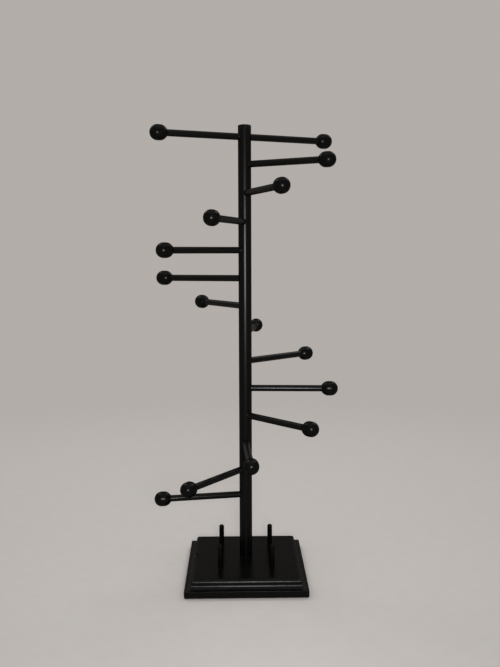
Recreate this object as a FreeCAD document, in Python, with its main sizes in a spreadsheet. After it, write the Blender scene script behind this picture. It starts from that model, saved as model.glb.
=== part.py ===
import FreeCAD, Part
import os
import Sketcher

# A free-standing jewellery stand of black lacquered wood, in millimetres.
#
# A moulded square base carries one upright post.  Arms climb the post like a spiral
# stair, each a straight dowel with a turned knob on its free end, and one long dowel
# crosses the post just under its top with a knob on either end.  Four short pegs for
# finger rings stand on the base.  A wood screw from below holds the post, and a felt
# sheet covers the screw and keeps the base off the table.
#
# The origin is on the table, under the middle of the post.  +X is the stand's right,
# -Y its front and +Z is up.  Bearings are degrees anticlockwise from +X seen from
# above, and arm 1 is the lowest.

SIZES = (
    ("felt_thickness", 1.0, "felt sheet under the base"),
    ("felt_margin", 0.5, "the felt stops this far inside the base's edge"),
    ("base_width", 140.0, "base, left to right"),
    ("base_depth", 140.0, "base, front to back"),
    ("plinth_rise", 7.4, "upright edge of the base, from the underside of the wood"),
    ("lip_radius", 0.3, "eased arris along the top of that edge"),
    ("ledge_width", 2.0, "flat ledge behind the arris"),
    ("cove_radius", 5.0, "hollow from the ledge up to the raised panel's side"),
    ("panel_side", 0.5, "upright part of the panel's side"),
    ("panel_radius", 4.5, "rounded edge of the raised panel"),
    ("post_diameter", 15.0, "upright post"),
    ("post_web", 6.0, "wood left in the base under the post"),
    ("post_crown_radius", 1.0, "rounding of the post's top edge"),
    ("post_head", 13.0, "from the cross dowel's axis up to the top of the post"),
    ("joint_gap", 0.05, "glue line round every dowel joint, on the radius"),
    ("end_gap", 0.4, "space left at the bottom of every blind socket"),
    ("arm_diameter", 7.5, "arms and the cross dowel"),
    ("arm_reach", 98.5, "from the post's axis to the middle of a knob"),
    ("arm_socket_depth", 10.0, "how deep the post is bored for an arm"),
    ("arm_count", 13, "arms on the spiral"),
    ("first_arm_height", 96.0, "from the table to the lowest arm's axis"),
    ("arm_rise", 32.2, "from one arm's axis up to the next"),
    ("first_arm_bearing", 188.6, "lowest arm"),
    ("arm_step_angle", 42.1, "from one arm's bearing to the next"),
    ("cross_rise", 30.3, "from the highest arm's axis up to the cross dowel's"),
    ("cross_bearing", 18.5, "right end of the cross dowel"),
    ("knob_diameter", 17.0, "turned knob"),
    ("knob_stretch", 2.8, "straight part between a knob's two rounded ends"),
    ("knob_rim_width", 0.6, "flat rim of a knob round its socket"),
    ("knob_socket_depth", 9.0, "how deep a knob is bored for its arm"),
    ("peg_diameter", 6.0, "ring pegs, above the base"),
    ("peg_rise", 27.5, "ring pegs, from the base to the tip"),
    ("peg_tip_radius", 2.2, "rounding of a ring peg's tip"),
    ("peg_spacing_x", 60.0, "between the ring pegs' axes, left to right"),
    ("peg_spacing_y", 60.0, "between the ring pegs' axes, front to back"),
    ("peg_shoulder", 0.5, "a ring peg's tenon is this much thinner, on the radius"),
    ("peg_socket_depth", 9.0, "how deep the base is bored for a ring peg"),
    ("screw_diameter", 4.0, "wood screw, over its thread"),
    ("screw_length", 34.0, "wood screw, head included"),
    ("screw_point_length", 4.0, "tapered end of the screw"),
    ("screw_head_diameter", 8.0, "countersunk head"),
    ("screw_head_height", 2.4, "countersunk head"),
    ("screw_clearance", 0.2, "round and under the screw in the base"),
    ("screw_recess_width", 1.0, "each slot of the cross cut in the head"),
    ("screw_recess_span", 4.4, "the same cross, end to end"),
    ("screw_recess_depth", 1.5, "the same cross"),
)

# How far cutting tools run past the wood that they clear away.
OVERRUN = 5
SMALLEST_CUT = 0.01
# The Sketcher's numbers for a curve's points, and for the sketch's own origin.
START, END, MIDDLE = 1, 2, 3
ORIGIN = (-1, 1)
ANTICLOCKWISE, CLOCKWISE = 1, -1

# Places and sizes that several sub-parts share, as expressions in the sheet's sizes.
# The base:
LEDGE_INSET = "(Sizes.lip_radius + Sizes.ledge_width + Sizes.cove_radius)"
BASE_THICKNESS = "(Sizes.plinth_rise + Sizes.cove_radius + Sizes.panel_side + Sizes.panel_radius)"
BASE_TOP = f"(Sizes.felt_thickness + {BASE_THICKNESS})"
# The post, whose foot stands a little above the bottom of its socket:
POST_RADIUS = "(Sizes.post_diameter / 2)"
POST_FOOT = "(Sizes.felt_thickness + Sizes.post_web + Sizes.end_gap)"
# The arms, from the post's axis outwards:
ARM_RADIUS = "(Sizes.arm_diameter / 2)"
ARM_BORE_RADIUS = f"({ARM_RADIUS} + Sizes.joint_gap)"
ARM_SOCKET_FLOOR = f"({POST_RADIUS} - Sizes.arm_socket_depth)"
TOP_ARM_HEIGHT = "(Sizes.first_arm_height + (Sizes.arm_count - 1) * Sizes.arm_rise)"
CROSS_HEIGHT = f"({TOP_ARM_HEIGHT} + Sizes.cross_rise)"
POST_TOP = f"({CROSS_HEIGHT} + Sizes.post_head)"
# A knob, from its middle.  Its neck tapers at 45 degrees from the ball to the rim:
KNOB_RADIUS = "(Sizes.knob_diameter / 2)"
KNOB_HALF_STRETCH = "(Sizes.knob_stretch / 2)"
KNOB_RIM_RADIUS = f"({ARM_BORE_RADIUS} + Sizes.knob_rim_width)"
KNOB_BACK = f"({KNOB_HALF_STRETCH} + sqrt(2) * {KNOB_RADIUS} - {KNOB_RIM_RADIUS})"
KNOB_SOCKET_FLOOR = f"(Sizes.arm_reach - {KNOB_BACK} + Sizes.knob_socket_depth)"
ARM_END = f"({KNOB_SOCKET_FLOOR} - Sizes.end_gap)"
# The screw, whose head lies just inside the underside of the wood:
SCREW_RADIUS = "(Sizes.screw_diameter / 2)"
SCREW_HEAD_RADIUS = "(Sizes.screw_head_diameter / 2)"
SCREW_FOOT = "(Sizes.felt_thickness + Sizes.screw_clearance)"


# ---- The document, its sheet and its sketches

def new_document():
    """The document with its sheet of driving sizes, one alias to a size."""
    document = FreeCAD.newDocument("JewelleryStand")
    sheet = document.addObject("Spreadsheet::Sheet", "Sizes")
    for row, (alias, value, note) in enumerate(SIZES, start=1):
        sheet.set(f"A{row}", alias)
        sheet.set(f"B{row}", str(value))
        sheet.set(f"C{row}", note)
        sheet.setAlias(f"B{row}", alias)
    document.recompute()
    return document


def value_of(item, expression):
    """What an expression in the sheet's sizes comes to."""
    return float(item.evalExpression(expression))


def new_body(document, name, placement=None):
    """An empty body whose label is the sub-part's name."""
    body = document.addObject("PartDesign::Body", name)
    body.Label = name
    if placement:
        body.setExpression("Placement", placement)
    return body


def origin_feature(body, role):
    """A plane or axis of the body's own origin."""
    return next(item for item in body.Origin.OriginFeatures if item.Role == role)


def new_sketch(body, name, role):
    """An empty sketch on one of the body's origin planes."""
    sketch = body.newObject("Sketcher::SketchObject", name)
    sketch.AttachmentSupport = (origin_feature(body, role), [""])
    sketch.MapMode = "FlatFace"
    return sketch


def bind(sketch, name, constraint, expression):
    """Add a constraint and tie it to the sheet."""
    sketch.renameConstraint(sketch.addConstraint(constraint), name)
    sketch.setExpression(f"Constraints.{name}", expression)


def add_stretch(sketch, start, end, radius, turn):
    """Draw a straight line, or an arc if it has a turn.  Returns its number in the
    sketch and which of its points are the stretch's start and end."""
    if not turn:
        return sketch.addGeometry(Part.LineSegment(start, end)), START, END
    if turn == CLOCKWISE:
        start, end = end, start
    half_chord = (end - start) * 0.5
    left = FreeCAD.Vector(-half_chord.y, half_chord.x, 0).normalize()
    centre_shift = max(radius ** 2 - half_chord.Length ** 2, 0) ** 0.5
    crown = start + half_chord + left * (centre_shift - radius)
    number = sketch.addGeometry(Part.Arc(start, crown, end))
    return (number, START, END) if turn == ANTICLOCKWISE else (number, END, START)


def outline(sketch, label, steps):
    """Draw a closed outline.  Each step says where a stretch ends, as (x, y), or for
    an arc (x, y, radius, turn), with x, y and radius as expressions."""
    corners = [FreeCAD.Vector(value_of(sketch, x), value_of(sketch, y), 0) for x, y, *_ in steps]
    bends = [bend or ("0", 0) for _, _, *bend in steps]
    stretches = [
        add_stretch(sketch, corners[index - 1], corners[index], value_of(sketch, radius), turn)
        for index, (radius, turn) in enumerate(bends)
    ]
    for index, (x, y, *bend) in enumerate(steps):
        number, _, end = stretches[index]
        following, start, _ = stretches[(index + 1) % len(steps)]
        sketch.addConstraint(Sketcher.Constraint("Coincident", number, end, following, start))
        across = Sketcher.Constraint("DistanceX", *ORIGIN, number, end, corners[index].x)
        bind(sketch, f"{label}_{index}_x", across, x)
        upwards = Sketcher.Constraint("DistanceY", *ORIGIN, number, end, corners[index].y)
        bind(sketch, f"{label}_{index}_y", upwards, y)
        if bend:
            round_off = Sketcher.Constraint("Radius", number, value_of(sketch, bend[0]))
            bind(sketch, f"{label}_{index}_radius", round_off, bend[0])


def rectangle(sketch, label, half_width, half_depth):
    """Draw a rectangle about the sketch's origin."""
    left, front = f"-({half_width})", f"-({half_depth})"
    outline(sketch, label, (
        (left, front),
        (half_width, front),
        (half_width, half_depth),
        (left, half_depth),
    ))


def flipped(steps):
    """The same outline on the other side of the sketch's vertical axis."""
    other_side = []
    for x, y, *bend in steps:
        turned_back = (bend[0], -bend[1]) if bend else ()
        other_side.append((f"-({x})", y, *turned_back))
    return other_side


# ---- Features and placements

def add_pad(body, name, sketch, length):
    """Raise a sketch into a solid."""
    feature = body.newObject("PartDesign::Pad", name)
    feature.Profile = sketch
    feature.setExpression("Length", length)


def add_through_cut(body, name, sketch):
    """Clear a sketch's outlines away through the whole body, both ways."""
    feature = body.newObject("PartDesign::Pocket", name)
    feature.Profile = sketch
    feature.Type = "ThroughAll"
    feature.SideType = "Symmetric"


def add_turning(body, name, sketch, role, kind="PartDesign::Revolution"):
    """Turn a sketch once round one of the body's axes, into a solid or a hollow."""
    feature = body.newObject(kind, name)
    feature.Profile = sketch
    feature.ReferenceAxis = (origin_feature(body, role), [""])
    feature.Angle = 360


def add_bore(body, name, radius, depth, placement):
    """Bore a round hole, from the placement's origin along its Z axis."""
    feature = body.newObject("PartDesign::SubtractiveCylinder", name)
    feature.setExpression("Radius", radius)
    feature.setExpression("Height", depth)
    feature.setExpression("Placement", placement)


def moved(x, y, z):
    """A placement that only moves."""
    return f"placement(vector({x}; {y}; {z}); rotation(vector(0; 0; 1); 0))"


def radial(height, bearing):
    """A placement on the post's axis whose X axis points along a bearing."""
    return f"placement(vector(0; 0; {height}); rotation(vector(0; 0; 1); {bearing}))"


def level_bore(start, height, bearing):
    """A placement for a level bore along a bearing, from its distance off the axis."""
    place = f"vector({start} * cos({bearing}); {start} * sin({bearing}); {height})"
    return f"placement({place}; rotation(vector(0; 0; 1); {bearing}) * rotation(vector(0; 1; 0); 90))"


# ---- Where the repeated sub-parts stand

def arm_numbers(document):
    return range(1, int(document.Sizes.arm_count) + 1)


def arm_height(number):
    return f"(Sizes.first_arm_height + {number - 1} * Sizes.arm_rise)"


def arm_bearing(number):
    return f"(Sizes.first_arm_bearing + {number - 1} * Sizes.arm_step_angle)"


def peg_places():
    """Name, x and y of each ring peg."""
    rows = (("front", "-Sizes.peg_spacing_y / 2"), ("back", "Sizes.peg_spacing_y / 2"))
    columns = (("left", "-Sizes.peg_spacing_x / 2"), ("right", "Sizes.peg_spacing_x / 2"))
    return [(f"ring_peg_{row}_{column}", x, y) for row, y in rows for column, x in columns]


# ---- The sub-parts

def make_felt(document):
    body = new_body(document, "base_felt")
    sketch = new_sketch(body, "felt_outline", "XY_Plane")
    half_width = "Sizes.base_width / 2 - Sizes.felt_margin"
    half_depth = "Sizes.base_depth / 2 - Sizes.felt_margin"
    rectangle(sketch, "sheet", half_width, half_depth)
    add_pad(body, "felt_sheet", sketch, "Sizes.felt_thickness")
    return body


def cut_moulding(body, name, role, width):
    """Run the moulding cutter along two opposite edges of the base."""
    edge = f"{width} / 2"
    wall = f"({edge} - {LEDGE_INSET})"
    ledge, lip = "Sizes.plinth_rise", "Sizes.lip_radius"
    cove, crown = "Sizes.cove_radius", "Sizes.panel_radius"
    outside, above = f"{edge} + {OVERRUN}", f"{BASE_THICKNESS} + {OVERRUN}"
    cutter = [
        (f"{wall} - {crown}", above),
        (f"{wall} - {crown}", BASE_THICKNESS),
        (wall, f"{BASE_THICKNESS} - {crown}", crown, CLOCKWISE),
        (wall, f"{ledge} + {cove}"),
        (f"{wall} + {cove}", ledge, cove, ANTICLOCKWISE),
        (f"{edge} - {lip}", ledge),
        (edge, f"{ledge} - {lip}", lip, CLOCKWISE),
        (outside, f"{ledge} - {lip}"),
        (outside, above),
    ]
    sketch = new_sketch(body, f"{name}_outline", role)
    outline(sketch, "right", cutter)
    outline(sketch, "left", flipped(cutter))
    add_through_cut(body, name, sketch)


def make_base(document):
    """The moulded base, bored for the post, its screw and the ring pegs."""
    body = new_body(document, "base", moved("0", "0", "Sizes.felt_thickness"))
    sketch = new_sketch(body, "blank_outline", "XY_Plane")
    rectangle(sketch, "blank", "Sizes.base_width / 2", "Sizes.base_depth / 2")
    add_pad(body, "blank", sketch, BASE_THICKNESS)
    cut_moulding(body, "side_moulding", "XZ_Plane", "Sizes.base_width")
    cut_moulding(body, "end_moulding", "YZ_Plane", "Sizes.base_depth")

    head = f"({SCREW_HEAD_RADIUS} + Sizes.screw_clearance)"
    shank = f"({SCREW_RADIUS} + Sizes.screw_clearance)"
    socket = f"({POST_RADIUS} + Sizes.joint_gap)"
    sketch = new_sketch(body, "post_bore_outline", "XZ_Plane")
    outline(sketch, "bore", (
        ("0", f"-{OVERRUN}"),
        (head, f"-{OVERRUN}"),
        (head, "Sizes.screw_clearance"),
        (shank, "Sizes.screw_clearance + Sizes.screw_head_height"),
        (shank, "Sizes.post_web"),
        (socket, "Sizes.post_web"),
        (socket, f"{BASE_THICKNESS} + {OVERRUN}"),
        ("0", f"{BASE_THICKNESS} + {OVERRUN}"),
    ))
    add_turning(body, "post_bore", sketch, "Z_Axis", "PartDesign::Groove")

    bore = "Sizes.peg_diameter / 2 - Sizes.peg_shoulder + Sizes.joint_gap"
    for name, x, y in peg_places():
        floor = moved(x, y, f"{BASE_THICKNESS} - Sizes.peg_socket_depth")
        add_bore(body, f"{name}_socket", bore, f"Sizes.peg_socket_depth + {OVERRUN}", floor)
    return body


def make_post(document):
    """The turned post, with the screw's pilot hole and a bore for each arm."""
    body = new_body(document, "post", moved("0", "0", POST_FOOT))
    top = f"({POST_TOP} - {POST_FOOT})"
    crown = "Sizes.post_crown_radius"
    pilot = f"({SCREW_RADIUS} + Sizes.joint_gap)"
    pilot_end = f"({SCREW_FOOT} + Sizes.screw_length + Sizes.end_gap - {POST_FOOT})"
    sketch = new_sketch(body, "post_outline", "XZ_Plane")
    outline(sketch, "turning", (
        (pilot, "0"),
        (POST_RADIUS, "0"),
        (POST_RADIUS, f"{top} - {crown}"),
        (f"{POST_RADIUS} - {crown}", top, crown, ANTICLOCKWISE),
        ("0", top),
        ("0", pilot_end),
        (pilot, f"{pilot_end} - Sizes.screw_point_length"),
    ))
    add_turning(body, "post_turning", sketch, "Z_Axis")

    for number in arm_numbers(document):
        height = f"{arm_height(number)} - {POST_FOOT}"
        floor = level_bore(ARM_SOCKET_FLOOR, height, arm_bearing(number))
        depth = f"Sizes.arm_socket_depth + {OVERRUN}"
        add_bore(body, f"arm_{number:02d}_socket", ARM_BORE_RADIUS, depth, floor)
    outside = f"(-{POST_RADIUS} - {OVERRUN})"
    way_in = level_bore(outside, f"{CROSS_HEIGHT} - {POST_FOOT}", "Sizes.cross_bearing")
    add_bore(body, "cross_arm_bore", ARM_BORE_RADIUS, f"-2 * {outside}", way_in)
    return body


def make_dowel(document, name, placement, start, end):
    """A plain dowel along its body's X axis."""
    body = new_body(document, name, placement)
    sketch = new_sketch(body, f"{name}_outline", "XZ_Plane")
    outline(sketch, "dowel", ((start, "0"), (end, "0"), (end, ARM_RADIUS), (start, ARM_RADIUS)))
    add_turning(body, f"{name}_turning", sketch, "X_Axis")
    return body


def make_arm(document, number):
    place = radial(arm_height(number), arm_bearing(number))
    start = f"({ARM_SOCKET_FLOOR} + Sizes.end_gap)"
    return make_dowel(document, f"arm_{number:02d}", place, start, ARM_END)


def make_cross_arm(document):
    place = radial(CROSS_HEIGHT, "Sizes.cross_bearing")
    return make_dowel(document, "cross_arm", place, f"-{ARM_END}", ARM_END)


def make_knob(document, name, height, bearing):
    """A turned knob with a tapered neck, bored for the end of its arm."""
    body = new_body(document, name, radial(height, bearing))
    front = f"(Sizes.arm_reach + {KNOB_HALF_STRETCH})"
    back = f"(Sizes.arm_reach - {KNOB_HALF_STRETCH})"
    rim = f"(Sizes.arm_reach - {KNOB_BACK})"
    neck = f"{KNOB_RADIUS} / sqrt(2)"
    sketch = new_sketch(body, f"{name}_outline", "XZ_Plane")
    outline(sketch, "knob", (
        (rim, ARM_BORE_RADIUS),
        (rim, KNOB_RIM_RADIUS),
        (f"{back} - {neck}", neck),
        (back, KNOB_RADIUS, KNOB_RADIUS, CLOCKWISE),
        (front, KNOB_RADIUS),
        (f"{front} + {KNOB_RADIUS}", "0", KNOB_RADIUS, CLOCKWISE),
        (KNOB_SOCKET_FLOOR, "0"),
        (KNOB_SOCKET_FLOOR, ARM_BORE_RADIUS),
    ))
    add_turning(body, f"{name}_turning", sketch, "X_Axis")
    return body


def make_ring_peg(document, name, x, y):
    """A peg whose shoulder rests on the base, glued in by its thinner tenon."""
    body = new_body(document, name, moved(x, y, BASE_TOP))
    radius, tip = "(Sizes.peg_diameter / 2)", "Sizes.peg_tip_radius"
    tenon = f"({radius} - Sizes.peg_shoulder)"
    foot = "(Sizes.end_gap - Sizes.peg_socket_depth)"
    sketch = new_sketch(body, f"{name}_outline", "XZ_Plane")
    outline(sketch, "peg", (
        ("0", foot),
        (tenon, foot),
        (tenon, "0"),
        (radius, "0"),
        (radius, f"Sizes.peg_rise - {tip}"),
        (f"{radius} - {tip}", "Sizes.peg_rise", tip, ANTICLOCKWISE),
        ("0", "Sizes.peg_rise"),
    ))
    add_turning(body, f"{name}_turning", sketch, "Z_Axis")
    return body


def make_screw(document):
    """The countersunk wood screw, plain where its thread would be."""
    body = new_body(document, "post_screw", moved("0", "0", SCREW_FOOT))
    sketch = new_sketch(body, "screw_outline", "XZ_Plane")
    outline(sketch, "screw", (
        ("0", "0"),
        (SCREW_HEAD_RADIUS, "0"),
        (SCREW_RADIUS, "Sizes.screw_head_height"),
        (SCREW_RADIUS, "Sizes.screw_length - Sizes.screw_point_length"),
        ("0", "Sizes.screw_length"),
    ))
    add_turning(body, "screw_turning", sketch, "Z_Axis")
    span, width = "Sizes.screw_recess_span", "Sizes.screw_recess_width"
    for name, length, breadth in (("recess_slot_x", span, width), ("recess_slot_y", width, span)):
        slot = body.newObject("PartDesign::SubtractiveBox", name)
        slot.setExpression("Length", length)
        slot.setExpression("Width", breadth)
        slot.setExpression("Height", "Sizes.screw_recess_depth")
        slot.setExpression("Placement", moved(f"-{length} / 2", f"-{breadth} / 2", "0"))
    return body


def make_stand(document):
    """Every sub-part of the stand."""
    bodies = [make_felt(document), make_base(document), make_screw(document), make_post(document)]
    for number in arm_numbers(document):
        place = (arm_height(number), arm_bearing(number))
        bodies.append(make_arm(document, number))
        bodies.append(make_knob(document, f"knob_{number:02d}", *place))
    bodies.append(make_cross_arm(document))
    bodies.append(make_knob(document, "cross_knob_right", CROSS_HEIGHT, "Sizes.cross_bearing"))
    bodies.append(make_knob(document, "cross_knob_left", CROSS_HEIGHT, "Sizes.cross_bearing + 180"))
    for name, x, y in peg_places():
        bodies.append(make_ring_peg(document, name, x, y))
    return bodies


# ---- Checks and files

def is_cut(feature):
    return feature.TypeId in ("PartDesign::Pocket", "PartDesign::Groove") or "Subtractive" in feature.TypeId


def check_stand(document, bodies):
    """Stop if a feature failed, a cut removed nothing or a sub-part isn't one solid."""
    for item in document.Objects:
        if "Invalid" in item.State or "Error" in item.State:
            raise RuntimeError(f"{item.Label} failed: {item.State}")
    for body in bodies:
        for feature in filter(is_cut, body.Group):
            removed = feature.BaseFeature.Shape.Volume - feature.Shape.Volume
            if removed < SMALLEST_CUT:
                raise RuntimeError(f"{feature.Label} removes nothing from {body.Label}")
        shape = body.Shape
        if shape.isNull() or not shape.isValid() or len(shape.Solids) != 1:
            raise RuntimeError(f"{body.Label} isn't one valid solid")


def main():
    document = new_document()
    bodies = make_stand(document)
    document.recompute()
    check_stand(document, bodies)
    os.makedirs("parts", exist_ok=True)
    for body in bodies:
        body.Shape.exportStep(f"parts/{body.Label}.step")
    print(f"{len(bodies)} sub-parts written")


main()
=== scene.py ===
import math

import bpy
from mathutils import Matrix, Vector


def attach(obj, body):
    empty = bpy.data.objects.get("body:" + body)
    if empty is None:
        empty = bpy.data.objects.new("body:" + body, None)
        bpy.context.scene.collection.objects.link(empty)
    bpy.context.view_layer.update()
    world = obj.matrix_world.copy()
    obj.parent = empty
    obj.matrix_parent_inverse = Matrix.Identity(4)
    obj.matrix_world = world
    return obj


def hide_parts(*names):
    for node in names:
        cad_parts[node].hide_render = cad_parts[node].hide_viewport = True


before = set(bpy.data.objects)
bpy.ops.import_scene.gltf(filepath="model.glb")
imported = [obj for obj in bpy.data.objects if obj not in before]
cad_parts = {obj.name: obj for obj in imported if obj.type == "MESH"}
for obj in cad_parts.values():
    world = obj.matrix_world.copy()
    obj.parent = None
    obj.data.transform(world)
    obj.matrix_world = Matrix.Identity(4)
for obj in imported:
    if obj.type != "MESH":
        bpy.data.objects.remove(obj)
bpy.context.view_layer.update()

# The looks of a jewellery stand of black lacquered wood.  Each wooden piece, and the felt, is
# made again over its CAD solid, in the same place and of the same size, with the small collars
# where lacquer has run into a joint and with the grain and wear that its material reads.

# The stand's sizes, in millimetres and degrees, as the CAD model has them.  They stay in
# millimetres until a mesh is made from them.
MM = 0.001

FELT_TOP = 1.0
FELT_MARGIN = 0.5

BASE_HALF = 70.0
PLINTH_RISE = 7.4
LIP_RADIUS = 0.3
LEDGE_WIDTH = 2.0
COVE_RADIUS = 5.0
PANEL_SIDE = 0.5
PANEL_RADIUS = 4.5
LEDGE_HEIGHT = FELT_TOP + PLINTH_RISE
BASE_TOP = LEDGE_HEIGHT + COVE_RADIUS + PANEL_SIDE + PANEL_RADIUS
PANEL_INSET = LIP_RADIUS + LEDGE_WIDTH + COVE_RADIUS

ARM_RADIUS = 3.75
ARM_REACH = 98.5
ARM_COUNT = 13
FIRST_HEIGHT = 96.0
ARM_RISE = 32.2
FIRST_BEARING = 188.6
BEARING_STEP = 42.1
CROSS_RISE = 30.3
CROSS_BEARING = 18.5
CROSS_HEIGHT = FIRST_HEIGHT + (ARM_COUNT - 1) * ARM_RISE + CROSS_RISE

POST_RADIUS = 7.5
POST_CROWN = 1.0
POST_HEAD = 13.0
# A hair less than the CAD model's height, so that rounding leaves the top inside its box.
POST_TOP = CROSS_HEIGHT + POST_HEAD - 0.001

KNOB_RADIUS = 8.5
KNOB_HALF_STRETCH = 1.4
KNOB_NECK_RADIUS = KNOB_RADIUS / math.sqrt(2)
KNOB_RIM_RADIUS = 4.4
# The knob's neck tapers at 45 degrees from the ball to the rim round the arm, whose place is
# rounded to a hundredth of a millimetre.
KNOB_RIM = round(ARM_REACH - KNOB_HALF_STRETCH - 2 * KNOB_NECK_RADIUS + KNOB_RIM_RADIUS, 2)

PEG_RADIUS = 3.0
PEG_RISE = 27.5
PEG_TIP = 2.2
PEG_OFFSET = 30.0

# The oval mark in the lacquer on the base's left edge, whose pale middle is a painted highlight.
MARK_PLACE = (-61.2, 2.0, 17.2)
MARK_WIDTH = 7.6
MARK_LENGTH = 19.0
MARK_DEPTH = 0.3

# How high each kind of relief in the lacquer stands, in millimetres.
GRAIN_HEIGHT = 0.010
PORE_HEIGHT = 0.008
PEEL_HEIGHT = 0.022
TORN_HEIGHT = 0.16

# Colours, linear.
LACQUER_DARK = (0.0007, 0.0007, 0.0007, 1)
LACQUER_LIGHT = (0.0017, 0.0016, 0.0015, 1)
# The end grain's grey is partly duller lacquer and partly painted sheen.
END_GRAIN_AND_SHEEN = (0.022, 0.021, 0.020, 1)
# The oval mark's pale middle, a painted highlight.
MARK_PAINTED_HIGHLIGHT = (0.013, 0.0125, 0.012, 1)
RUBBED = (0.030, 0.027, 0.024, 1)
DUST = (0.17, 0.155, 0.135, 1)
FELT_DARK = (0.006, 0.006, 0.006, 1)
FELT_LIGHT = (0.022, 0.021, 0.020, 1)
ZINC_DARK = (0.50, 0.49, 0.46, 1)
ZINC_LIGHT = (0.66, 0.65, 0.62, 1)
FLOOR_DARK = (0.51, 0.48, 0.455, 1)
FLOOR_LIGHT = (0.55, 0.52, 0.495, 1)
BACKDROP = (0.45, 0.42, 0.395, 1)
WHITE = (1, 1, 1, 1)

BASE_PIECE = "base_moulded"
# Each piece's grain starts this many metres further on than that of the piece made before it.
GRAIN_SHIFT = 0.37


# ---- Camera

def add_camera():
    """The photograph's camera, solved from the stand's corners and knobs."""
    place = Vector((-8.129, -804.527, 381.481)) * MM
    pitch, yaw, roll = 0.11410, -0.01707, -0.00287
    ahead = Vector((
        -math.sin(yaw) * math.cos(pitch),
        math.cos(yaw) * math.cos(pitch),
        -math.sin(pitch),
    ))
    level = Vector((math.cos(yaw), math.sin(yaw), 0))
    above = level.cross(ahead)
    right = level * math.cos(roll) + above * math.sin(roll)
    up = above * math.cos(roll) - level * math.sin(roll)
    data = bpy.data.cameras.new("camera")
    data.sensor_width = 36
    data.lens = 37.474
    data.clip_start, data.clip_end = 0.01, 100
    camera = bpy.data.objects.new("camera", data)
    camera.matrix_world = Matrix((
        (right.x, up.x, -ahead.x, place.x),
        (right.y, up.y, -ahead.y, place.y),
        (right.z, up.z, -ahead.z, place.z),
        (0, 0, 0, 1),
    ))
    bpy.context.scene.collection.objects.link(camera)
    bpy.context.scene.camera = camera


# ---- Nodes

class Nodes:
    """A node tree, emptied, and short ways to add and join its nodes."""

    def __init__(self, tree):
        self.tree = tree
        self.tree.nodes.clear()

    def add(self, kind, inputs=(), **settings):
        """A new node's outputs.  inputs maps its sockets to values or to other outputs."""
        made = self.tree.nodes.new(kind)
        for key, value in settings.items():
            setattr(made, key, value)
        for key, value in dict(inputs).items():
            if isinstance(value, bpy.types.NodeSocket):
                self.tree.links.new(value, made.inputs[key])
            else:
                made.inputs[key].default_value = value
        return made.outputs

    def maths(self, operation, *values, clamp=False):
        return self.add("ShaderNodeMath", enumerate(values), operation=operation, use_clamp=clamp)[0]

    def total(self, *values):
        result = values[0]
        for value in values[1:]:
            result = self.maths("ADD", result, value)
        return result

    def product(self, *values, clamp=False):
        result = values[0]
        for value in values[1:]:
            result = self.maths("MULTIPLY", result, value, clamp=clamp)
        return result

    def noise(self, vector, scale, detail=2.0, roughness=0.5, distortion=0.0):
        """Fractal noise, with about scale features to a unit of its vector."""
        return self.add("ShaderNodeTexNoise", {
            "Vector": vector, "Scale": scale, "Detail": detail,
            "Roughness": roughness, "Distortion": distortion,
        })["Fac"]

    def stretched(self, vector, scale):
        return self.add("ShaderNodeMapping", {"Vector": vector, "Scale": scale})[0]

    def remap(self, value, low, high, new_low=0.0, new_high=1.0):
        """A smooth step between two values."""
        return self.add("ShaderNodeMapRange", {
            "Value": value, "From Min": low, "From Max": high, "To Min": new_low, "To Max": new_high,
        }, interpolation_type="SMOOTHSTEP")[0]

    def mix(self, factor, first, second):
        """A blend of two colours, by the numbers of the Mix node's colour sockets."""
        return self.add("ShaderNodeMix", {0: factor, 6: first, 7: second}, data_type="RGBA")[2]

    def parts(self, vector):
        """A vector's outputs X, Y and Z."""
        return self.add("ShaderNodeSeparateXYZ", {"Vector": vector})

    def length(self, vector):
        return self.add("ShaderNodeVectorMath", {0: vector}, operation="LENGTH")["Value"]

    def bump(self, height, strength, distance):
        return self.add("ShaderNodeBump", {"Height": height, "Strength": strength, "Distance": distance})[0]

    def shown(self):
        """1 on rays that show something, straight, in gloss or through glass, and otherwise 0."""
        path = self.add("ShaderNodeLightPath")
        mirrored = self.maths("MAXIMUM", path["Is Glossy Ray"], path["Is Transmission Ray"])
        return self.maths("MAXIMUM", path["Is Camera Ray"], mirrored)


def new_material(name):
    """A material and its nodes."""
    material = bpy.data.materials.new(name)
    material.use_nodes = True
    return material, Nodes(material.node_tree)


def finish_material(material, nodes, surface):
    nodes.add("ShaderNodeOutputMaterial", {"Surface": surface})
    return material


# ---- The lacquer

def add_relief(nodes, coords, along, relief, wave):
    """The wood's grain, and the height of all the relief that shows in the lacquer over it:
    grain, pores, the sprayed coat's orange peel and its slow sags."""
    fine = tuple(140 if axis == along else 2100 for axis in range(3))
    coarse = tuple(scale * 0.55 for scale in fine)
    broad = tuple(60 if axis == along else 130 for axis in range(3))
    grain = nodes.noise(nodes.stretched(coords, fine), 1.0, 4.0, 0.62, 0.3)
    pores = nodes.remap(nodes.noise(nodes.stretched(coords, coarse), 1.0), 0.30, 0.42)
    peel = nodes.noise(coords, 430)
    sags = nodes.noise(nodes.stretched(coords, broad), 1.0)
    height = nodes.total(
        nodes.product(grain, GRAIN_HEIGHT * relief),
        nodes.product(pores, PORE_HEIGHT * relief),
        nodes.product(peel, PEEL_HEIGHT * relief),
        nodes.product(sags, wave),
    )
    return grain, height


def find_end_grain(nodes, coords, facing):
    """1 on the base's left and right edges, where the fibres end, and less on their ledges."""
    place = nodes.parts(coords)
    upright = nodes.remap(nodes.maths("ABSOLUTE", facing["X"]), 0.12, 0.65)
    panel = BASE_HALF - PANEL_INSET
    outer = nodes.remap(nodes.maths("ABSOLUTE", place["X"]), (panel - 0.5) * MM, (panel + 0.5) * MM)
    ledge = nodes.product(outer, nodes.remap(facing["Z"], 0.6, 0.9), 0.4)
    below_panel = nodes.remap(place["Z"], 13.0 * MM, 15.0 * MM, 1.0, 0.0)
    return nodes.product(nodes.maths("MAXIMUM", upright, ledge), below_panel)


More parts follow.
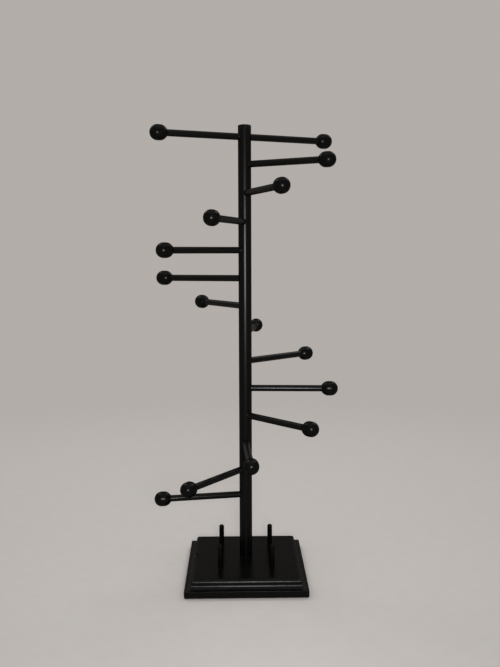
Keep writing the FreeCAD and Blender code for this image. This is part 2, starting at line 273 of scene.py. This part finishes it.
def add_end_grain_and_sheen(nodes, coords, moved, facing, height, colour):
    """Torn fibres under the lacquer where the grain ends, with a grey over them that is partly duller
    lacquer and partly painted sheen.  Gives the new height and colour.
    """
    ends = find_end_grain(nodes, coords, facing)
    torn = nodes.noise(nodes.stretched(moved, (500, 560, 1500)), 1.0, 4.0, 0.7, 0.6)
    height = nodes.total(height, nodes.product(torn, ends, TORN_HEIGHT))
    # The grey in these streaks is partly duller lacquer and partly painted sheen.
    streaks = nodes.remap(torn, 0.38, 0.64, 0.05, 1.0)
    return height, nodes.mix(nodes.product(ends, streaks), colour, END_GRAIN_AND_SHEEN)


def add_mark(nodes, coords, height, colour):
    """The oval mark, sunk a little, with a dull ring round a pale middle that is a painted
    highlight.  Gives the new height and colour, and the share of its gloss that the coat keeps."""
    middle = tuple(value * MM for value in MARK_PLACE)
    scale = tuple(2 / (size * MM) for size in (MARK_WIDTH, MARK_LENGTH, MARK_WIDTH))
    offset = nodes.add("ShaderNodeVectorMath", {0: coords, 1: middle}, operation="SUBTRACT")[0]
    # 0 in the middle of the oval and 1 on its rim.
    away = nodes.length(nodes.stretched(offset, scale))
    height = nodes.total(height, nodes.remap(away, 0.2, 1.0, -MARK_DEPTH, 0.0))
    # The pale middle is a painted highlight.
    colour = nodes.mix(nodes.remap(away, 0.25, 0.5, 1.0, 0.0), colour, MARK_PAINTED_HIGHLIGHT)
    ring = nodes.product(nodes.remap(away, 0.4, 0.65), nodes.remap(away, 0.85, 1.1, 1.0, 0.0))
    return height, colour, nodes.remap(ring, 0.0, 1.0, 1.0, 0.4)


def find_dust(nodes, coords, facing, dust):
    """A smeared film with specks in it, on what faces up."""
    settled = nodes.remap(facing["Z"], 0.25, 0.95)
    film = nodes.remap(nodes.noise(coords, 34, 3.0, 0.6, 0.8), 0.35, 0.75, 0.25, 1.0)
    specks = nodes.remap(nodes.noise(coords, 900, 3.0, 0.7), 0.62, 0.74)
    both = nodes.total(nodes.product(film, dust), nodes.product(specks, dust * 2.2))
    return nodes.product(settled, both, clamp=True)


def find_wear(nodes, coords):
    """Patches along the edges that the mesh names as worn."""
    edges = nodes.add("ShaderNodeAttribute", attribute_name="wear")["Fac"]
    patches = nodes.remap(nodes.noise(coords, 210, 3.0, 0.65), 0.44, 0.66)
    return nodes.product(edges, patches)


def lacquer(name, seed, along, gloss, blur, dust, relief, wave, haze=0.0, is_base=False):
    """Black satin lacquer sprayed over wood.  seed moves its noises, along is the local axis of
    the grain, gloss and blur are the coat's weight and roughness, dust is how much of it has
    settled, relief scales the heights of the fine relief, wave is the sags' height in
    millimetres, and haze is the gloss under the coat.  The base also has end grain, whose grey
    is partly painted sheen, and the oval mark, whose pale middle is a painted highlight."""
    material, nodes = new_material(name)
    coords = nodes.add("ShaderNodeAttribute", attribute_name="grain")["Vector"]
    start = (seed, seed * 0.7, seed * 1.3)
    moved = nodes.add("ShaderNodeMapping", {"Vector": coords, "Location": start})[0]
    facing = nodes.parts(nodes.add("ShaderNodeNewGeometry")["Normal"])
    grain, height = add_relief(nodes, moved, along, relief, wave)
    colour = nodes.mix(nodes.remap(grain, 0.35, 0.65), LACQUER_DARK, LACQUER_LIGHT)
    coat = gloss
    if is_base:
        height, colour = add_end_grain_and_sheen(nodes, coords, moved, facing, height, colour)
        height, colour, kept_gloss = add_mark(nodes, coords, height, colour)
        coat = nodes.product(kept_gloss, gloss)
    colour = nodes.mix(find_wear(nodes, moved), colour, RUBBED)
    colour = nodes.mix(find_dust(nodes, moved, facing, dust), colour, DUST)
    bump = nodes.bump(height, 1.0, MM)
    surface = nodes.add("ShaderNodeBsdfPrincipled", {
        "Base Color": colour,
        "Roughness": 0.6,
        "IOR": 1.5,
        "Specular IOR Level": haze,
        "Normal": bump,
        "Coat Weight": coat,
        "Coat Roughness": blur,
        "Coat IOR": 1.9,
        "Coat Normal": bump,
    })[0]
    return finish_material(material, nodes, surface)


# ---- Felt and steel

def felt_material():
    """Black felt, of matted fibres."""
    material, nodes = new_material("black_felt")
    coords = nodes.add("ShaderNodeTexCoord")["Object"]
    fibres = nodes.noise(coords, 1600, 5.0, 0.7, 1.2)
    matted = nodes.noise(coords, 220, 3.0, 0.6)
    height = nodes.total(fibres, nodes.product(matted, 0.6))
    surface = nodes.add("ShaderNodeBsdfPrincipled", {
        "Base Color": nodes.mix(nodes.remap(fibres, 0.3, 0.7), FELT_DARK, FELT_LIGHT),
        "Roughness": nodes.remap(matted, 0.3, 0.7, 0.88, 1.0),
        "Specular IOR Level": 0.1,
        "Sheen Weight": 0.25,
        "Sheen Roughness": 0.6,
        "Normal": nodes.bump(height, 0.8, 0.3 * MM),
    })[0]
    return finish_material(material, nodes, surface)


def steel_material():
    """Zinc-plated steel with fine turning marks."""
    material, nodes = new_material("zinc_plated_steel")
    coords = nodes.add("ShaderNodeTexCoord")["Object"]
    turned = nodes.noise(nodes.stretched(coords, (600, 600, 5200)), 1.0, 3.0)
    blotches = nodes.noise(coords, 500, 3.0, 0.6)
    surface = nodes.add("ShaderNodeBsdfPrincipled", {
        "Base Color": nodes.mix(blotches, ZINC_DARK, ZINC_LIGHT),
        "Metallic": 1.0,
        "Roughness": nodes.remap(blotches, 0.3, 0.7, 0.26, 0.42),
        "Normal": nodes.bump(turned, 0.3, 0.05 * MM),
    })[0]
    return finish_material(material, nodes, surface)


# ---- Meshes

def loft(rings, ends):
    """The points and faces of a surface through rings of points.  Each end is closed by a fan
    round a point in its middle, or left open."""
    count = len(rings[0])
    points = [point for ring in rings for point in ring]
    faces = []
    for level in range(len(rings) - 1):
        low, high = level * count, (level + 1) * count
        for index in range(count):
            following = (index + 1) % count
            faces.append((low + index, low + following, high + following, high + index))
    for closed, start, turn in ((ends[0], 0, -1), (ends[1], (len(rings) - 1) * count, 1)):
        if closed:
            rim = points[start:start + count]
            middle = len(points)
            points.append(tuple(sum(point[axis] for point in rim) / count for axis in range(3)))
            for index in range(count):
                pair = (start + index, start + (index + 1) % count)
                faces.append((*pair[::turn], middle))
    return points, faces


def make_piece(name, rings, ends, matrix, material, node, wear=()):
    """A lofted piece that stands for a CAD node.  matrix puts the piece's own frame, in which
    its rings and its grain lie, into the stand's.  wear has a value for each ring from the
    first on, and rings past its end aren't worn."""
    points, faces = loft(rings, ends)
    rubbed = [value for value, ring in zip(wear, rings) for _ in ring]
    rubbed += [0.0] * (len(points) - len(rubbed))
    mesh = bpy.data.meshes.new(name)
    local = [Vector(point) * MM for point in points]
    mesh.from_pydata([tuple(matrix @ point) for point in local], [], faces)
    mesh.update()
    mesh.shade_smooth()
    mesh.attributes.new("wear", "FLOAT", "POINT").data.foreach_set("value", rubbed)
    # The base's grain stays where the base is, because its marks are placed by it.
    shift = Vector((0, 0, 0 if name == BASE_PIECE else GRAIN_SHIFT * len(bpy.data.meshes)))
    grain = mesh.attributes.new("grain", "FLOAT_VECTOR", "POINT").data
    grain.foreach_set("vector", [value for point in local for value in point + shift])
    mesh.materials.append(material)
    piece = bpy.data.objects.new(name, mesh)
    bpy.context.scene.collection.objects.link(piece)
    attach(piece, "root")
    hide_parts(node)
    return piece


def arc(centre, radius, start, end, steps):
    """Points of an arc, angles in degrees."""
    angles = [math.radians(start + (end - start) * step / steps) for step in range(steps + 1)]
    return [(centre[0] + radius * math.cos(a), centre[1] + radius * math.sin(a)) for a in angles]


def turned_rings(profile, count):
    """Rings about the local Z axis from (radius, height) points."""
    angles = [2 * math.pi * index / count for index in range(count)]
    rings = []
    for radius, height in profile:
        rings.append([(radius * math.cos(angle), radius * math.sin(angle), height) for angle in angles])
    return rings


def spaced(start, end, pitch):
    """Evenly spaced values between two ends, about a pitch apart, without the ends."""
    steps = max(1, round(abs(end - start) / pitch))
    return [start + (end - start) * step / steps for step in range(1, steps)]


def radial(height, bearing):
    """A frame on the post's axis, its local Z pointing along a bearing and its X up."""
    turn = math.radians(bearing)
    cosine, sine = math.cos(turn), math.sin(turn)
    return Matrix((
        (0, sine, cosine, 0),
        (0, -cosine, sine, 0),
        (1, 0, 0, height * MM),
        (0, 0, 0, 1),
    ))


# ---- The base and its felt

def rounded_square(half, corner, height, per_side=48, per_corner=8):
    """A level square ring with rounded corners, anticlockwise from the front left.  Its points
    crowd near the corners, so that the shading there stays true."""
    straight = half - corner
    length = 2 * straight
    near = (0.12, 0.4, 1.0)
    middle = [near[-1] + (length - 2 * near[-1]) * step / per_side for step in range(1, per_side)]
    along = [*near, *middle, *(length - gap for gap in reversed(near))]
    side = arc((-straight, -straight), corner, 180, 270, per_corner)
    side += [(-straight + gap, -half) for gap in along]
    ring = []
    for cosine, sine in ((1, 0), (0, 1), (-1, 0), (0, -1)):
        ring += [(x * cosine - y * sine, x * sine + y * cosine, height) for x, y in side]
    return ring


def base_profile():
    """The base's edge from the underside up, as inset, height, corner radius and wear."""
    steps = [
        (3.0, FELT_TOP, 0.5, 0.0),
        (0.35, FELT_TOP, 0.5, 0.0),
        (0.1, FELT_TOP + 0.1, 0.7, 0.3),
        (0.0, FELT_TOP + 0.35, 0.8, 0.1),
    ]
    steps += [(0.0, height, 0.8, 0.0) for height in (2.6, 4.2, 5.8, 7.2)]
    lip = arc((LIP_RADIUS, LEDGE_HEIGHT - LIP_RADIUS), LIP_RADIUS, 180, 90, 4)
    steps += [(inset, height, 0.8, 0.22) for inset, height in lip]
    steps += [(inset, LEDGE_HEIGHT, 0.8, 0.0) for inset in (0.9, 1.6)]
    cove = arc((LIP_RADIUS + LEDGE_WIDTH, LEDGE_HEIGHT + COVE_RADIUS), COVE_RADIUS, 270, 360, 10)
    steps += [(inset, height, 0.7, 0.0) for inset, height in cove]
    panel = arc((PANEL_INSET + PANEL_RADIUS, BASE_TOP - PANEL_RADIUS), PANEL_RADIUS, 180, 90, 14)
    steps += [(inset, height, 0.9, 0.06) for inset, height in panel]
    return steps


def make_base(material):
    """The moulded base.  Its flat top narrows from the panel's square to a round hole that the
    post fills."""
    profile = base_profile()
    rings = [rounded_square(BASE_HALF - inset, corner, height) for inset, height, corner, _ in profile]
    wear = [rubbed for _, _, _, rubbed in profile]
    border = rings[-1]
    hole = POST_RADIUS - 0.3
    for share in (0.02, 0.06, 0.14, 0.3, 0.5, 0.7, 0.88, 1.0):
        ring = []
        for x, y, _ in border:
            length = math.hypot(x, y)
            across, along = x / length * hole, y / length * hole
            ring.append((x + (across - x) * share, y + (along - y) * share, BASE_TOP))
        rings.append(ring)
    make_piece(BASE_PIECE, rings, (False, False), Matrix(), material, "base", wear)


def make_felt(material):
    """The felt sheet glued under the base, with the soft edge that felt has where it is cut."""
    half, soft, corner = BASE_HALF - FELT_MARGIN, 0.4, 1.0
    inner = (5.0, 20.0, 40.0, 60.0, 68.0)
    cut_edge = arc((soft, soft), soft, 270, 180, 4) + arc((soft, FELT_TOP - soft), soft, 180, 90, 4)
    rings = [rounded_square(reach, corner, 0.0) for reach in inner]
    rings += [rounded_square(half - inset, corner, height) for inset, height in cut_edge]
    rings += [rounded_square(reach, corner, FELT_TOP) for reach in reversed(inner)]
    sheet = make_piece("base_felt_sheet", rings, (True, True), Matrix(), material, "base_felt")


# ---- The post, the arms, the knobs and the pegs

def collar(radius, size, height, steps=6):
    """A small ring of lacquer that has run into a joint, as (radius, height) points."""
    return arc((radius + size, height + size), size, 270, 180, steps)


def make_post(material):
    run_in = 0.2
    foot = [(POST_RADIUS + run_in, BASE_TOP - 0.15)] + collar(POST_RADIUS, run_in, BASE_TOP)
    crown = arc((POST_RADIUS - POST_CROWN, POST_TOP - POST_CROWN), POST_CROWN, 0, 90, 8)
    straight = [(POST_RADIUS, height) for height in spaced(foot[-1][1], crown[0][1], 6)]
    top = [(radius, POST_TOP) for radius in (6.0, 4.5, 3.0, 1.5)]
    profile = foot + straight + crown + top
    # The rounded edge round the crown is rubbed, and the flat top isn't.
    wear = [0.5 if POST_TOP - 1.2 < height < POST_TOP - 0.01 else 0.0 for _, height in profile]
    rings = turned_rings(profile, 96)
    make_piece("post_turned", rings, (False, True), Matrix(), material, "post", wear)


def arm_rings(count=56, run_in=0.3):
    """An arm from inside the post to inside its knob, with lacquer run in at the post."""
    angles = [2 * math.pi * index / count for index in range(count)]
    rings = []
    for radius, clear in [(ARM_RADIUS + run_in, -0.25)] + collar(ARM_RADIUS, run_in, 0.0):
        ring = []
        for angle in angles:
            x, y = radius * math.cos(angle), radius * math.sin(angle)
            ring.append((x, y, math.sqrt(POST_RADIUS ** 2 - y ** 2) + clear))
        rings.append(ring)
    start, end = POST_RADIUS + run_in + 0.3, KNOB_RIM + 1.0
    straight = [(ARM_RADIUS, height) for height in (start, *spaced(start, end, 5), end)]
    return rings + turned_rings(straight, count)


def make_arm(name, height, bearing, material):
    place = radial(height, bearing)
    make_piece(f"{name}_dowel", arm_rings(), (False, False), place, material, name)


def make_cross_arm(material):
    """Both halves of the dowel through the post, in one mesh."""
    half = arm_rings()
    count = len(half[0])
    mirrored = [[(x, -y, -z) for x, y, z in ring] for ring in half]
    backwards = [[ring[-index % count] for index in range(count)] for ring in mirrored]
    rings = backwards[::-1] + half
    place = radial(CROSS_HEIGHT, CROSS_BEARING)
    make_piece("cross_arm_dowel", rings, (False, False), place, material, "cross_arm")


def knob_profile():
    """A knob about its arm's axis, as (radius, distance from the post's axis)."""
    run_in = 0.15
    collar_edge = arc((ARM_RADIUS + run_in, KNOB_RIM - run_in), run_in, 180, 90, 4)
    eased = 0.25
    rim = arc((KNOB_RIM_RADIUS - eased, KNOB_RIM + eased), eased, 270, 315, 3)
    back, front = ARM_REACH - KNOB_HALF_STRETCH, ARM_REACH + KNOB_HALF_STRETCH
    taper, length = KNOB_NECK_RADIUS - KNOB_RIM_RADIUS, back - KNOB_NECK_RADIUS - KNOB_RIM
    neck = [(KNOB_RIM_RADIUS + taper * share, KNOB_RIM + length * share) for share in (0.3, 0.65)]
    ball = arc((back, 0), KNOB_RADIUS, 135, 90, 10) + arc((front, 0), KNOB_RADIUS, 90, 6, 20)
    turned_ball = [(radius, height) for height, radius in ball]
    return [(ARM_RADIUS - 0.1, KNOB_RIM - run_in)] + collar_edge + rim + neck + turned_ball


def make_knob(name, height, bearing, material):
    rings = turned_rings(knob_profile(), 72)
    place = radial(height, bearing)
    make_piece(f"{name}_ball", rings, (False, True), place, material, name)


def make_peg(name, x, y, material):
    run_in = 0.25
    foot = [(PEG_RADIUS + run_in, -0.15)] + collar(PEG_RADIUS, run_in, 0.0, 5)
    tip = arc((PEG_RADIUS - PEG_TIP, PEG_RISE - PEG_TIP), PEG_TIP, 0, 90, 10)
    straight = [(PEG_RADIUS, height) for height in spaced(foot[-1][1], tip[0][1], 4)]
    rings = turned_rings(foot + straight + tip, 48)
    place = Matrix.Translation(Vector((x, y, BASE_TOP)) * MM)
    make_piece(f"{name}_dowel", rings, (False, True), place, material, name)


# ---- The whole stand

def dress_stand():
    """Every piece with its material.  The order of the pieces sets where each one's grain
    starts."""
    base = lacquer("base_black_lacquer", 0.0, 0, 0.10, 0.26, 0.005, relief=1.0, wave=0.20, is_base=True)
    post = lacquer("post_black_lacquer", 3.1, 2, 0.098, 0.27, 0.005, relief=0.25, wave=0.06)
    arm = lacquer("arm_black_lacquer", 5.7, 2, 0.095, 0.20, 0.004, relief=0.1, wave=0.02, haze=0.025)
    knob = lacquer("knob_black_lacquer", 8.3, 2, 0.085, 0.26, 0.004, relief=0.15, wave=0.03)
    peg = lacquer("peg_black_lacquer", 11.9, 2, 0.06, 0.26, 0.004, relief=0.2, wave=0.03)
    make_base(base)
    make_post(post)
    for index in range(ARM_COUNT):
        height, bearing = FIRST_HEIGHT + index * ARM_RISE, FIRST_BEARING + index * BEARING_STEP
        make_arm(f"arm_{index + 1:02d}", height, bearing, arm)
        make_knob(f"knob_{index + 1:02d}", height, bearing, knob)
    make_cross_arm(arm)
    make_knob("cross_knob_right", CROSS_HEIGHT, CROSS_BEARING, knob)
    make_knob("cross_knob_left", CROSS_HEIGHT, CROSS_BEARING + 180, knob)
    for row, y in (("front", -PEG_OFFSET), ("back", PEG_OFFSET)):
        for column, x in (("left", -PEG_OFFSET), ("right", PEG_OFFSET)):
            make_peg(f"ring_peg_{row}_{column}", x, y, peg)
    make_felt(felt_material())
    steel = steel_material()
    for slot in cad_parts["post_screw"].material_slots:
        slot.material = steel


# ---- Floor, background and lights, in metres

def add_floor():
    """A pale floor that fades into the backdrop's colour, except where it lights things."""
    material, nodes = new_material("pale_floor")
    coords = nodes.add("ShaderNodeTexCoord")["Object"]
    colour = nodes.mix(nodes.noise(coords, 60, 4.0, 0.6), FLOOR_DARK, FLOOR_LIGHT)
    near = nodes.add("ShaderNodeBsdfDiffuse", {"Color": colour})[0]
    far = nodes.add("ShaderNodeEmission", {"Color": BACKDROP, "Strength": 1.0})[0]
    fade = nodes.product(nodes.remap(nodes.length(coords), 0.35, 1.5), nodes.shown())
    surface = nodes.add("ShaderNodeMixShader", {0: fade, 1: near, 2: far})[0]
    mesh = bpy.data.meshes.new("floor")
    half = 30
    corners = [(-half, -half, 0), (half, -half, 0), (half, half, 0), (-half, half, 0)]
    mesh.from_pydata(corners, [], [(0, 1, 2, 3)])
    mesh.materials.append(finish_material(material, nodes, surface))
    floor = bpy.data.objects.new("floor", mesh)
    bpy.context.scene.collection.objects.link(floor)


def add_world():
    """Even white light from all round, which is seen as the backdrop's colour."""
    world = bpy.data.worlds.new("studio")
    bpy.context.scene.world = world
    world.use_nodes = True
    nodes = Nodes(world.node_tree)
    fill = nodes.add("ShaderNodeBackground", {"Color": WHITE, "Strength": 0.46})[0]
    backdrop = nodes.add("ShaderNodeBackground", {"Color": BACKDROP})[0]
    blend = nodes.add("ShaderNodeMixShader", {0: nodes.shown(), 1: fill, 2: backdrop})[0]
    nodes.add("ShaderNodeOutputWorld", {"Surface": blend})


def add_light(name, place, target, size, radiance, spread=180):
    """A square softbox.  radiance is how bright its face is, seen straight on, and a grid on it
    narrows its spread, in degrees, without changing that."""
    data = bpy.data.lights.new(name, "AREA")
    data.shape = "SQUARE"
    data.size = size
    data.energy = radiance * math.pi * size ** 2
    if spread < 180:
        half = math.radians(spread / 2)
        data.spread = 2 * half
        data.energy *= 1 - half / math.tan(half)
    light = bpy.data.objects.new(name, data)
    light.location = place
    light.rotation_mode = "QUATERNION"
    light.rotation_quaternion = (Vector(target) - Vector(place)).to_track_quat("-Z", "Y")
    light.visible_camera = False
    bpy.context.scene.collection.objects.link(light)


def add_lights():
    """A small key beside the camera, as the photo's flash is, and three large soft lights."""
    middle = (0, 0, 0.27)
    add_light("key", (0.02, -0.86, 0.366), (0, 0, 0.31), size=0.14, radiance=114, spread=90)
    add_light("top", (0.0, -0.1, 1.7), (0, 0, 0), size=1.5, radiance=0.6)
    add_light("back_left", (-0.85, 0.8, 1.45), middle, size=0.6, radiance=5)
    add_light("back_right", (0.85, 0.8, 1.45), middle, size=0.6, radiance=5)


add_camera()
dress_stand()
add_floor()
add_world()
add_lights()
bpy.context.scene.view_settings.view_transform = "Standard"

bpy.context.view_layer.update()
